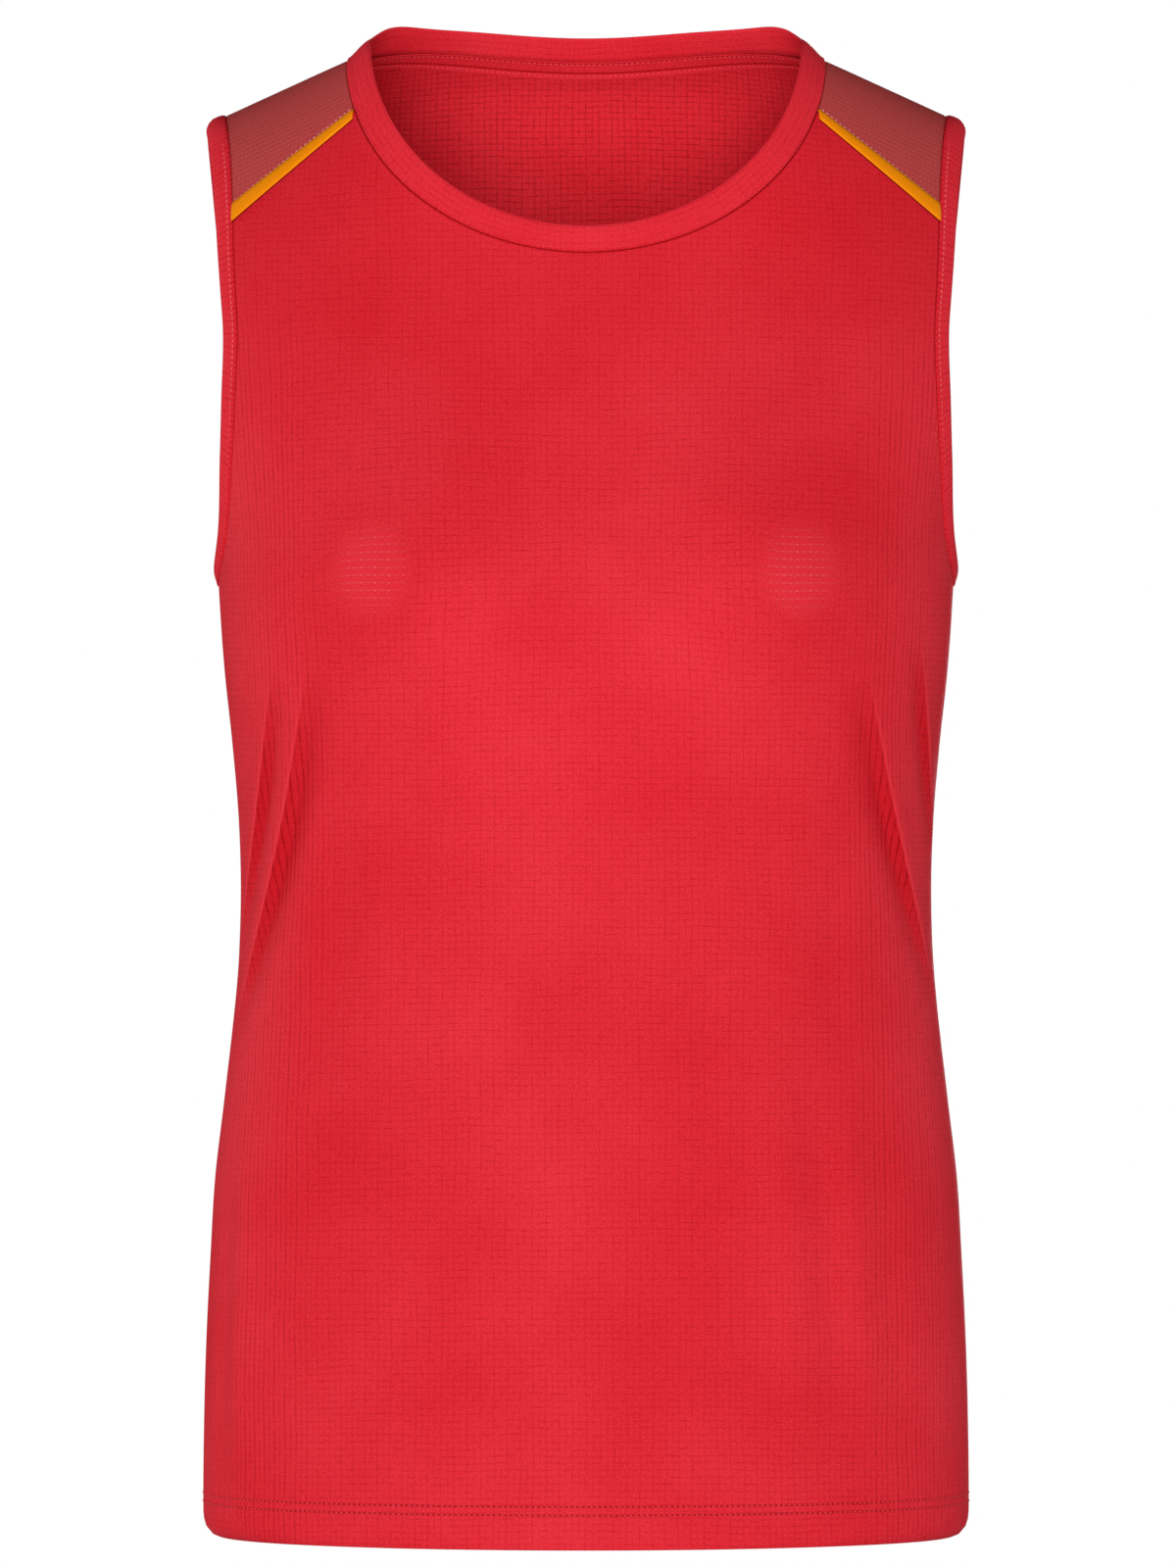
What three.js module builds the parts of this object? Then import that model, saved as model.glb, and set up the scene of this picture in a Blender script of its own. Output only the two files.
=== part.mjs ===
// A sleeveless running singlet in its worn shape: a hollow knit shell with yokes over the shoulders,
// flat piping in the front yoke seams, and folded bindings round the neck and the armholes.
// Millimetres, +Z up. The front faces -Y and +X is the wearer's left.
// The origin lies midway between the shoulders, level with the ridge at the neck seam.
import * as THREE from 'three';

// ---------------------------------------------------------------- driving sizes

const cloth = 1.2;            // wall of one layer of knit
const foldedCloth = 2.2;      // wall of a folded binding or of the turned-up hem
const seamGap = 0.3;          // between pieces that are sewn together

// Level rings of the body, from the hem up: half width at the side seams,
// and how far the front and the back stand away from them
const rings = [
  { height: -646, halfWidth: 166.4, front: 110.5, back: 105.5 },
  { height: -638, halfWidth: 167.8, front: 111.5, back: 106.5 },
  { height: -592, halfWidth: 167.4, front: 111, back: 106 },
  { height: -558, halfWidth: 166.4, front: 110, back: 104 },
  { height: -524, halfWidth: 164.7, front: 109, back: 102 },
  { height: -489, halfWidth: 162.6, front: 108, back: 98 },
  { height: -455, halfWidth: 158.6, front: 106, back: 93 },
  { height: -403, halfWidth: 152.9, front: 102, back: 87 },
  { height: -369, halfWidth: 151.4, front: 101, back: 85 },
  { height: -334, halfWidth: 152.2, front: 103, back: 87 },
  { height: -300, halfWidth: 155.0, front: 107, back: 91 },
  { height: -266, halfWidth: 158.6, front: 111, back: 96 },
  { height: -231, halfWidth: 161.0, front: 113, back: 101 },
  { height: -205, halfWidth: 161.8, front: 110, back: 103 },
  { height: -172, halfWidth: 167.2, front: 104, back: 104 },
  { height: -145, halfWidth: 171.6, front: 99, back: 103 },
  { height: -115, halfWidth: 174.6, front: 94, back: 101 },
  { height: -63, halfWidth: 182.6, front: 83, back: 94 },
  { height: 0, halfWidth: 190.0, front: 72, back: 84 },
  { height: 40, halfWidth: 192.0, front: 66, back: 76 },
];
const ringRoundness = 0.8;    // 1 is an ellipse, less is fuller at the corners

const bust = { rise: 12, across: 78, height: -222, halfWidth: 46, halfHeight: 58 };

const shoulder = {
  slope: THREE.MathUtils.degToRad(24.5),
  tip: 157.4,                 // from the middle to the armhole seam on the ridge
  tipSlope: THREE.MathUtils.degToRad(38),
  capHeight: 90,              // drop below the ridge at which the body is at its full depth
  neckRise: 34,               // how far the ridge would still climb from the neck seam to the middle
};

const neck = { halfWidth: 105, frontDrop: 88, backRise: 19, backSink: 16.5 };
const neckBand = { rise: 10, extraRise: 2, inset: 10.5, backLean: 6, frontLean: 1 };
const tape = { width: 7.3, clearance: 1.2 };

const armhole = { top: -23.9, bottom: -231, frontReach: 54, backReach: 57, roundness: 0.85 };
const armholeEdge = { top: -30.4, bottom: -222.4, frontReach: 48.4, backReach: 51.2, roundness: 0.85 };

// Where the yokes meet the neck seam and the armhole seam, as angles from the ridge; the front is negative.
// Along these seams the gap angle spans one seam gap.
const yoke = { neckFront: -14.5, neckBack: 24, armFront: -51.5, armBack: 50, gapAngle: 0.2 };
const piping = { neckWidth: 3.7, armWidth: 6.6, wall: 1.4 };

const hemDepth = 20;

// The largest folds of the cloth: straight soft ridges between two places on a panel, each place given as
// degrees round the body from the middle of the panel and as a height
const folds = [
  { panel: 'front', fromTurn: -60, fromHeight: -270, toTurn: -83, toHeight: -366, halfWidth: 3.4, rise: 2.6 },
  { panel: 'front', fromTurn: -51, fromHeight: -275, toTurn: -80, toHeight: -404, halfWidth: 3.8, rise: 3.4 },
  { panel: 'front', fromTurn: 57, fromHeight: -286, toTurn: 84, toHeight: -384, halfWidth: 3.8, rise: 3.0 },
  { panel: 'front', fromTurn: 66, fromHeight: -262, toTurn: 79, toHeight: -322, halfWidth: 3.0, rise: 2.0 },
  { panel: 'back', fromTurn: -54, fromHeight: -282, toTurn: -81, toHeight: -392, halfWidth: 4.2, rise: 3.0 },
  { panel: 'back', fromTurn: 50, fromHeight: -276, toTurn: 78, toHeight: -372, halfWidth: 4.0, rise: 2.6 },
  { panel: 'back', fromTurn: 60, fromHeight: -310, toTurn: 83, toHeight: -420, halfWidth: 3.6, rise: 2.4 },
];

// Faces of the panels and yokes; pieces that meet at a seam have their points at the same places of it
const neckColumns = 8;        // across half a panel, up to its neck seam
const yokeColumns = 6;        // across half a panel, up to a yoke seam, and across a yoke
const hemRows = 2;            // up the turned-up hem
const bodyRows = 13;          // from the hem to the underarm
const chestRows = 11;         // from the underarm to the top edge, and one narrow row along that edge
const topRowShare = 0.04;     // the narrow row's share of the chest
const yokeRows = 12;          // from a yoke's front seam to its back seam

const red = new THREE.MeshStandardMaterial({ color: 0xd8232f, roughness: 0.85, metalness: 0 });
const dustyRed = new THREE.MeshStandardMaterial({ color: 0xa83a3e, roughness: 0.9, metalness: 0 });
const orange = new THREE.MeshStandardMaterial({ color: 0xf08a14, roughness: 0.7, metalness: 0 });

// ---------------------------------------------------------------- the worn surface

const { degToRad, lerp } = THREE.MathUtils;
const FRONT = -1;
const BACK = 1;

// The ring at a height, as a smooth curve through the table's rows
function ringAt(height) {
  const last = rings.length - 1;
  let i = 0;
  while (i < last - 1 && height > rings[i + 1].height) i += 1;
  const [low, high] = [rings[i], rings[i + 1]];
  const [before, after] = [rings[Math.max(i - 1, 0)], rings[Math.min(i + 2, last)]];
  const span = high.height - low.height;
  const t = THREE.MathUtils.clamp((height - low.height) / span, 0, 1);
  const smooth = (column) => {
    const startSlope = (high[column] - before[column]) / (high.height - before.height);
    const endSlope = (after[column] - low[column]) / (after.height - low.height);
    return low[column] * (2 * t ** 3 - 3 * t ** 2 + 1)
      + high[column] * (3 * t ** 2 - 2 * t ** 3)
      + startSlope * span * (t ** 3 - 2 * t ** 2 + t)
      + endSlope * span * (t ** 3 - t ** 2);
  };
  return { halfWidth: smooth('halfWidth'), front: smooth('front'), back: smooth('back') };
}

// Height of the shoulder ridge at a distance from the middle. Inside the neck seam it climbs to a dome,
// and past the armhole seam it falls faster.
function ridge(x) {
  const across = Math.abs(x);
  if (across < neck.halfWidth) return shoulder.neckRise * (1 - (across / neck.halfWidth) ** 2);
  const pastTip = Math.max(across - shoulder.tip, 0);
  return (neck.halfWidth - across + pastTip) * Math.tan(shoulder.slope) - pastTip * Math.tan(shoulder.tipSlope);
}

function bustAt(x, height) {
  const tall = ((height - bust.height) / bust.halfHeight) ** 2;
  const left = ((x - bust.across) / bust.halfWidth) ** 2;
  const right = ((x + bust.across) / bust.halfWidth) ** 2;
  return bust.rise * (Math.exp(-left - tall) + Math.exp(-right - tall));
}

function fullDepth(x, height, side) {
  const ring = ringAt(height);
  return side === FRONT ? ring.front + bustAt(x, height) : ring.back;
}

// 0 on the side seams and on the shoulder ridge, 1 in the open middle of a panel
function openness(x, height) {
  const sideShare = 1 - (x / ringAt(height).halfWidth) ** 2;
  const capShare = 1 - Math.max(1 - (ridge(x) - height) / shoulder.capHeight, 0) ** 2;
  return Math.max(sideShare, 0) * Math.max(capShare, 0);
}

function depthAt(x, height, side) {
  return fullDepth(x, height, side) * openness(x, height) ** (ringRoundness / 2);
}

// Direction out of the cloth: the slope of a function that is 0 on the surface and grows inwards
function outward(point) {
  const inside = (x, y, z) => {
    const side = point.y < 0 ? FRONT : BACK;
    return openness(x, z) - (Math.abs(y) / fullDepth(x, z, side)) ** (2 / ringRoundness);
  };
  const step = 0.05;
  const { x, y, z } = point;
  return new THREE.Vector3(
    inside(x - step, y, z) - inside(x + step, y, z),
    inside(x, y - step, z) - inside(x, y + step, z),
    inside(x, y, z - step) - inside(x, y, z + step),
  ).normalize();
}

// How far the folds lift the cloth at a place
function foldLift(x, height, side) {
  const panel = side === FRONT ? 'front' : 'back';
  const turn = THREE.MathUtils.radToDeg(Math.asin(THREE.MathUtils.clamp(x / ringAt(height).halfWidth, -1, 1)));
  let lift = 0;
  for (const fold of folds) {
    if (fold.panel !== panel) continue;
    const along = (height - fold.fromHeight) / (fold.toHeight - fold.fromHeight);
    if (along < 0 || along > 1) continue;
    const away = (turn - lerp(fold.fromTurn, fold.toTurn, along)) / fold.halfWidth;
    lift += fold.rise * Math.sin(Math.PI * along) * Math.exp(-(away ** 2));
  }
  return lift;
}

// A place on the surface, moved out of the cloth by a distance
function onSurface({ x, height, side }, out = 0) {
  const point = new THREE.Vector3(x, side * depthAt(x, height, side), height);
  return point.addScaledVector(outward(point), out + foldLift(x, height, side));
}

// ---------------------------------------------------------------- seams, as places on the surface

// Neck seam by its angle from the shoulder ridge, on the wearer's left: -90 is the middle of the front, 90 of the back.
// The line can be let out from the neck by a distance.
function neckPlace(degrees, letOut = 0) {
  const sine = Math.sin(degToRad(Math.abs(degrees)));
  const x = (neck.halfWidth + letOut) * Math.cos(degToRad(degrees));
  if (degrees < 0) {
    const drop = shoulder.neckRise * sine ** 2 + (neck.frontDrop + letOut) * sine;
    return { x, height: ridge(x) - drop, side: FRONT };
  }
  const drop = (shoulder.neckRise - neck.backRise + letOut) * sine ** 2 + neck.backSink * sine ** 4;
  return { x, height: ridge(x) - drop, side: BACK };
}

// Where the surface is at a given height and a given reach before or behind the ridge
function placeAtReach(height, reach, side) {
  let near = neck.halfWidth;
  let far = ringAt(height).halfWidth;
  for (let i = 0; i < 40; i += 1) {
    const x = (near + far) / 2;
    if (depthAt(x, height, side) > reach) near = x;
    else far = x;
  }
  return { x: near, height, side };
}

// Armhole line by its angle from the shoulder ridge: 0 on the ridge, -180 or 180 at the underarm
function armholePlace(degrees, line) {
  const side = degrees < 0 ? FRONT : BACK;
  const reach = side === FRONT ? line.frontReach : line.backReach;
  const angle = degToRad(Math.abs(degrees));
  const height = lerp(line.bottom, line.top, (1 + Math.cos(angle)) / 2);
  return placeAtReach(height, Math.max(reach * Math.sin(angle) ** line.roundness, seamGap / 2), side);
}

// Angles of a yoke seam's ends on the neck seam and the armhole seam, half a seam gap nearer the ridge for the yoke
// or farther from it for the panel
function yokeCorners(side, ofYoke) {
  const shift = side * (ofYoke ? -yoke.gapAngle : yoke.gapAngle) / 2;
  return side === FRONT
    ? { neck: yoke.neckFront + shift, arm: yoke.armFront + shift }
    : { neck: yoke.neckBack + shift, arm: yoke.armBack + shift };
}

// A yoke seam: straight from the neck seam (share 0) to the armhole seam (share 1)
function yokeSeamPlace(share, side, ofYoke) {
  const corners = yokeCorners(side, ofYoke);
  const start = neckPlace(corners.neck);
  const end = armholePlace(corners.arm, armhole);
  return { x: lerp(start.x, end.x, share), height: lerp(start.height, end.height, share), side };
}

const mirrored = ({ x, height, side }) => ({ x: -x, height, side });

// ---------------------------------------------------------------- closed solids

// Turns the faces over where they would point inwards
function facingOut(geometry) {
  const position = geometry.getAttribute('position');
  const index = geometry.getIndex().array;
  const corner = (i) => new THREE.Vector3().fromBufferAttribute(position, index[i]);
  let volume = 0;
  for (let i = 0; i < index.length; i += 3) {
    volume += corner(i).dot(corner(i + 1).cross(corner(i + 2)));
  }
  if (volume < 0) geometry.setIndex(Array.from(index).reverse());
  geometry.computeVertexNormals();
  return geometry;
}

function solid(points, quads) {
  const geometry = new THREE.BufferGeometry().setFromPoints(points);
  geometry.setIndex(quads.flatMap(([a, b, c, d]) => [a, b, c, a, c, d]));
  return facingOut(geometry);
}

// A wall between two grids of points, outer[row][column] and inner[row][column], closed round its rim
function wall(outer, inner) {
  const rows = outer.length;
  const columns = outer[0].length;
  const count = rows * columns;
  const at = (row, column, skin) => skin * count + row * columns + column;
  const quads = [];
  for (let r = 0; r < rows - 1; r += 1) {
    for (let c = 0; c < columns - 1; c += 1) {
      quads.push([at(r, c, 0), at(r, c + 1, 0), at(r + 1, c + 1, 0), at(r + 1, c, 0)]);
      quads.push([at(r, c, 1), at(r + 1, c, 1), at(r + 1, c + 1, 1), at(r, c + 1, 1)]);
    }
  }
  const rim = [
    ...Array.from({ length: columns - 1 }, (_, c) => [0, c]),
    ...Array.from({ length: rows - 1 }, (_, r) => [r, columns - 1]),
    ...Array.from({ length: columns - 1 }, (_, c) => [rows - 1, columns - 1 - c]),
    ...Array.from({ length: rows - 1 }, (_, r) => [rows - 1 - r, 0]),
  ];
  rim.forEach(([row, column], i) => {
    const [nextRow, nextColumn] = rim[(i + 1) % rim.length];
    quads.push([at(row, column, 0), at(row, column, 1), at(nextRow, nextColumn, 1), at(nextRow, nextColumn, 0)]);
  });
  return solid([...outer.flat(), ...inner.flat()], quads);
}

// A wall on the worn surface from a grid of places, from one distance out of the cloth to another
function clothWall(places, outerOut, innerOut) {
  const lift = (out) => places.map((row) => row.map((place) => onSurface(place, out(place))));
  return wall(lift(() => outerOut), lift(innerOut));
}

// A closed ring with one section at each station
function ringOf(sections) {
  const size = sections[0].length;
  const quads = [];
  sections.forEach((_, i) => {
    const next = (i + 1) % sections.length;
    for (let k = 0; k < size; k += 1) {
      const after = (k + 1) % size;
      quads.push([i * size + k, i * size + after, next * size + after, next * size + k]);
    }
  });
  return solid(sections.flat(), quads);
}

// The section of a folded band, as shares of its width and of half its wall: open at the seam, round at the fold
const bandSection = [[0, 1], [0.5, 1.15], [0.9, 0.9], [1, 0], [0.9, -0.9], [0.5, -1], [0, -1]];

// A folded band round a closed line of seam points, out to its line of edge points.
// Where it is sewn on, its end stands square to the cloth that it meets.
function foldedBand(seams, edges) {
  return ringOf(seams.map((seam, i) => {
    const across = edges[i].clone().sub(seam);
    const along = seams[(i + 1) % seams.length].clone().sub(seams.at(i - 1));
    const out = new THREE.Vector3().crossVectors(along, across).normalize();
    return bandSection.map(([acrossShare, outShare]) => seam.clone()
      .addScaledVector(across, lerp(seamGap / across.length(), 1, acrossShare))
      .addScaledVector(acrossShare === 0 ? outward(seam) : out, (outShare * foldedCloth) / 2 - cloth / 2));
  }));
}

// ---------------------------------------------------------------- pieces

// Evenly spaced values from the first up to, but not with, the last
const steps = (first, last, count) => Array.from({ length: count }, (_, i) => lerp(first, last, i / count));

const chestShares = [...steps(0, 1 - topRowShare, chestRows), 1 - topRowShare, 1];

// A panel's top edge by its column, counted from the middle: yoke seam, neck seam, yoke seam
function topPlace(column, side) {
  const across = Math.abs(column);
  const place = across < neckColumns
    ? neckPlace(lerp(90 * side, yokeCorners(side, false).neck, across / neckColumns))
    : yokeSeamPlace((across - neckColumns) / yokeColumns, side, false);
  return column < 0 ? mirrored(place) : place;
}

// Places of a body panel. Each is set by its turn round the body, so that the grid closes evenly on the side seams;
// above the underarm the grid is blended from the armhole seams, the top edge and the underarm ring.
function panelPlaces(side) {
  const sideTurn = Math.PI / 2 - (seamGap / 2 / rings[0].front) ** (1 / ringRoundness);
  const turnOf = ({ x, height }) => Math.asin(x / ringAt(height).halfWidth);
  const placeOf = (turn, height) => ({ x: ringAt(height).halfWidth * Math.sin(turn), height, side });
  const halfColumns = neckColumns + yokeColumns;
  const columns = Array.from({ length: 2 * halfColumns + 1 }, (_, c) => c - halfColumns);
  const hem = rings[0].height;
  const ringHeights = [
    ...steps(hem, hem + hemDepth - 1, hemRows),
    hem + hemDepth - 1,
    ...steps(hem + hemDepth, armhole.bottom, bodyRows),
  ];
  const body = ringHeights.map((height) => columns.map((column) => (
    placeOf((column / halfColumns) * sideTurn, height)
  )));
  const chest = chestShares.map((up) => {
    const seam = armholePlace(lerp(180 * side, yokeCorners(side, false).arm, up), armhole);
    const corner = topPlace(halfColumns, side);
    const seamTurnShift = turnOf(seam) - lerp(sideTurn, turnOf(corner), up);
    const seamHeightShift = seam.height - lerp(armhole.bottom, corner.height, up);
    return columns.map((column) => {
      const across = column / halfColumns;
      const top = topPlace(column, side);
      return placeOf(
        lerp(across * sideTurn, turnOf(top), up) + across * seamTurnShift,
        lerp(armhole.bottom, top.height, up) + Math.abs(across) * seamHeightShift,
      );
    });
  });
  return [...body, ...chest];
}

function panel(side) {
  const hemTop = rings[0].height + hemDepth;
  return clothWall(panelPlaces(side), 0, ({ height }) => (height < hemTop ? -foldedCloth : -cloth));
}

// Places of the left yoke: columns from the neck seam to the armhole seam, rows from the front seam over the ridge
// to the back seam. A place is set by its lean, the angle round the shoulder cap from the ridge.
function yokePlaces() {
  const leanOf = ({ x, height, side }) => side * Math.acos(1 - (ridge(x) - height) / shoulder.capHeight);
  const placeOf = (x, lean) => ({
    x,
    height: ridge(x) - shoulder.capHeight * (1 - Math.cos(lean)),
    side: lean < 0 ? FRONT : BACK,
  });
  const seamLean = (share, side) => leanOf(yokeSeamPlace(share, side, true));
  const bow = (share, side) => seamLean(share, side) - lerp(seamLean(0, side), seamLean(1, side), share);
  const [front, back] = [yokeCorners(FRONT, true), yokeCorners(BACK, true)];
  return Array.from({ length: yokeRows + 1 }, (_, r) => {
    const rear = r / yokeRows;
    const inner = neckPlace(lerp(front.neck, back.neck, rear));
    const outer = armholePlace(lerp(front.arm, back.arm, rear), armhole);
    return Array.from({ length: yokeColumns + 1 }, (_unused, c) => {
      const share = c / yokeColumns;
      const lean = lerp(leanOf(inner), leanOf(outer), share) + lerp(bow(share, FRONT), bow(share, BACK), rear);
      return placeOf(lerp(inner.x, outer.x, share), lean);
    });
  });
}

// Flat piping on the front panel, hanging from the yoke seam
function pipingPlaces() {
  const trim = seamGap / 50;
  return [0, 1].map((down) => Array.from({ length: yokeColumns + 1 }, (_, c) => {
    const share = lerp(trim, 1 - trim, c / yokeColumns);
    const place = yokeSeamPlace(share, FRONT, false);
    return { ...place, height: place.height - down * lerp(piping.neckWidth, piping.armWidth, share) };
  }));
}

// Angles of the neck seam's points on the wearer's left, from the middle of the front to the middle of the back
const neckAngles = [
  ...steps(-90, yoke.neckFront, neckColumns),
  ...steps(yoke.neckFront, yoke.neckBack, yokeRows),
  ...steps(yoke.neckBack, 90, neckColumns),
  90,
];

// Angles of the armhole seam's points, from the underarm by the front, the ridge and the back
const armholeAngles = [
  ...chestShares.slice(0, -1).map((up) => lerp(-180, yoke.armFront, up)),
  ...steps(yoke.armFront, yoke.armBack, yokeRows),
  ...chestShares.slice(1).reverse().map((up) => lerp(180, yoke.armBack, up)),
];

// Tape inside the back neck, from the ridge of one shoulder to the other
function tapePlaces() {
  const behind = neckAngles.filter((angle) => angle > 0);
  return [0, 1].map((down) => {
    const left = behind.map((angle) => neckPlace(angle, seamGap + down * tape.width));
    return [...left, ...left.slice(0, -1).reverse().map(mirrored)];
  });
}

function neckBinding() {
  const seamAndEdge = (angle, place) => {
    const seam = onSurface(place);
    const sine = Math.sin(degToRad(angle));
    const lean = (angle > 0 ? neckBand.backLean : neckBand.frontLean) * sine;
    const edge = new THREE.Vector3(
      seam.x * (1 - neckBand.inset / neck.halfWidth),
      seam.y - lean,
      seam.z + neckBand.rise + neckBand.extraRise * sine ** 2,
    );
    return { seam, edge };
  };
  const left = neckAngles.map((angle) => seamAndEdge(angle, neckPlace(angle)));
  const right = neckAngles.slice(1, -1).map((angle) => seamAndEdge(angle, mirrored(neckPlace(angle)))).reverse();
  const stations = [...left, ...right];
  return foldedBand(stations.map(({ seam }) => seam), stations.map(({ edge }) => edge));
}

function armholeBinding() {
  const line = (sizes) => armholeAngles.map((angle) => onSurface(armholePlace(angle, sizes)));
  return foldedBand(line(armhole), line(armholeEdge));
}

// ---------------------------------------------------------------- the singlet

const mirrorX = (geometry) => facingOut(geometry.clone().scale(-1, 1, 1));

function piece(name, geometry, material) {
  const mesh = new THREE.Mesh(geometry, material);
  mesh.name = name;
  return mesh;
}

const yokeGeometry = clothWall(yokePlaces(), 0, () => -cloth);
const pipingGeometry = clothWall(pipingPlaces(), seamGap + piping.wall, () => seamGap);
const armholeGeometry = armholeBinding();

const singlet = new THREE.Group();
singlet.add(
  piece('front', panel(FRONT), red),
  piece('back', panel(BACK), red),
  piece('yoke_left', yokeGeometry, dustyRed),
  piece('yoke_right', mirrorX(yokeGeometry), dustyRed),
  piece('piping_left', pipingGeometry, orange),
  piece('piping_right', mirrorX(pipingGeometry), orange),
  piece('neck_binding', neckBinding(), red),
  piece('neck_tape', clothWall(tapePlaces(), -cloth - tape.clearance, () => -2 * cloth - tape.clearance), red),
  piece('armhole_binding_left', armholeGeometry, red),
  piece('armhole_binding_right', mirrorX(armholeGeometry), red),
);

export default singlet;
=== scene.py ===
import math

import bmesh
import bpy
import numpy as np
from mathutils import Matrix, Vector


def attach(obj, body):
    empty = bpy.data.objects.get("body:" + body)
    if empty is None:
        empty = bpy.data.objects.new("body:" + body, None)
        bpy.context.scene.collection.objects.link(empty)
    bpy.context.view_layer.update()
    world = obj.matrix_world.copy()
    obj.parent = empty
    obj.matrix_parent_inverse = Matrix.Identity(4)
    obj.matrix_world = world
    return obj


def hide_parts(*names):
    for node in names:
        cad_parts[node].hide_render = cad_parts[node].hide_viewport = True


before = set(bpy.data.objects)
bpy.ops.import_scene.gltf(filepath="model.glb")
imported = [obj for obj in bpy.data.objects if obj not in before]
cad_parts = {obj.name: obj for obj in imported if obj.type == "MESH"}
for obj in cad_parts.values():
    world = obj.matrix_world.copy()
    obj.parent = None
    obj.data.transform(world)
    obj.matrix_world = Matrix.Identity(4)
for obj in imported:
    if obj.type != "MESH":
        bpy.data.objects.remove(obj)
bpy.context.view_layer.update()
mm = 0.001  # every size below is in millimetres

front, back = -1, 1  # sides of the body along Y
hands = ((1, "left"), (-1, "right"))  # sides of the wearer along X
mirrorX = np.array([-1, 1, 1])

# The worn shape: rows of height, half width at the side seams, depth of the front, depth of the back
body = {
    "rings": [
        (-646, 161.0, 110.0, 105.0), (-645, 163.6, 110.3, 105.3), (-643.4, 165.3, 110.8, 105.8),
        (-640.6, 167.0, 111.2, 106.2), (-635, 167.8, 111.5, 106.5), (-592, 167.4, 111, 106),
        (-558, 166.4, 110, 104), (-524, 164.7, 109, 102), (-489, 162.6, 108, 98), (-455, 158.6, 106, 93),
        (-403, 152.9, 102, 87), (-369, 151.4, 101, 85), (-334, 152.2, 103, 87), (-300, 155.0, 107, 91),
        (-266, 158.6, 111, 96), (-231, 161.0, 113, 101), (-205, 161.8, 110, 103), (-172, 167.2, 104, 104),
        (-145, 171.6, 99, 103), (-115, 174.6, 94, 101), (-63, 182.6, 83, 94), (0, 190.0, 72, 84),
        (40, 192.0, 66, 76),
    ],
    "roundness": 0.8,  # 1 is an ellipse, less is fuller at the corners
    "bustRise": 12, "bustAcross": 78, "bustHeight": -222, "bustHalfWidth": 46, "bustHalfHeight": 58,
    "slope": 24.5,  # of the shoulders, in degrees
    "tip": 157.4, "tipSlope": 38,  # from the armhole seam out, the shoulder falls faster
    "capHeight": 90,  # below the ridge, where the body has its full depth
    "neckRise": 34,
}
neck = {"halfWidth": 105, "frontDrop": 88, "backRise": 19, "backSink": 16.5}
armhole = {"top": -23.9, "bottom": -231, "frontReach": 54, "backReach": 57, "roundness": 0.85}
armholeEdge = {"top": -30.4, "bottom": -222.4, "frontReach": 48.4, "backReach": 51.2, "roundness": 0.85}
yokeSeam = {"neckFront": -16.2, "neckBack": 24, "armFront": -53.5, "armBack": 50, "gapAngle": 0.2}

# Creases: side, 1 or 2 for its pair of attributes, degrees round the body and height where it starts and
# ends, the degrees of its outer slope, its rise, the degrees over which it drops on its inner side, how
# deep, and the degrees over which the cloth recovers
creases = [
    (front, 1, (-60, -270, -84, -392), 5.0, 1.3, 3.4, 2.0, 7.0),
    (front, 2, (-50, -268, -82, -430), 5.5, 1.5, 3.6, 2.6, 9.5),
    (front, 2, (51, -272, 83, -414), 5.0, 1.4, 3.6, 2.4, 9.0),
    (front, 1, (66, -256, 85, -346), 4.0, 1.0, 3.2, 1.5, 6.0),
    (back, 2, (-54, -282, -83, -396), 5.0, 1.4, 3.6, 2.4, 8.0),
    (back, 2, (50, -276, 80, -376), 5.0, 1.3, 3.6, 2.2, 8.0),
    (back, 1, (62, -310, 85, -424), 4.4, 1.2, 3.4, 1.9, 6.0),
]
foldBow = 0.09  # how far creases and rolls bow as they hang, as a share of how far they turn
farFromCrease = 60.0  # degrees
creaseForcePower = 0.7  # below 1, a crease keeps its force nearer to its ends
# Long soft hollows and rolls: side, start and end as above, half width in degrees, rise
rolls = [
    (front, (-46, -286, -45, -452), 4.4, -1.6),
    (front, (-38, -300, -36, -470), 5.0, 0.9),
    (front, (-30, -250, -27, -420), 4.0, -0.6),
    (front, (46, -300, 43, -470), 4.4, -0.9),
    (front, (31, -430, 34, -610), 3.2, 1.0),
    (front, (37.5, -420, 41, -620), 3.2, -1.1),
    (front, (45, -430, 47, -610), 3.0, 0.9),
    (front, (52, -450, 55, -620), 3.0, -0.8),
    (front, (-66, -480, -63, -640), 4.0, 1.0),
    (front, (-72, -470, -70, -640), 3.6, -1.1),
    (front, (8, -300, 14, -560), 7.0, 0.9),
    (front, (-14, -290, -17, -520), 7.0, -0.8),
    (front, (20, -380, 22, -600), 5.0, -0.8),
    (back, (-30, -300, -34, -520), 6.0, 1.3),
    (back, (0, -240, 2, -480), 7.0, -1.5),
    (back, (28, -310, 33, -560), 6.0, 1.2),
    (back, (12, -420, 16, -630), 5.0, 1.0),
    (back, (-18, -400, -24, -630), 5.0, -0.9),
    (back, (62, -450, 60, -636), 4.0, 1.0),
    (back, (-66, -460, -62, -636), 4.0, -1.0),
    (back, (-12, -90, -16, -260), 6.0, 0.8),
    (back, (14, -80, 20, -280), 6.0, -0.7),
]


def lerp(a, b, share):
    return a + (b - a) * share


def smooth(low, high, value):
    t = np.clip((value - low) / (high - low), 0, 1)
    return t * t * (3 - 2 * t)


ringRows = np.array(body["rings"], float)
hemHeight = ringRows[0, 0]


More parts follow.
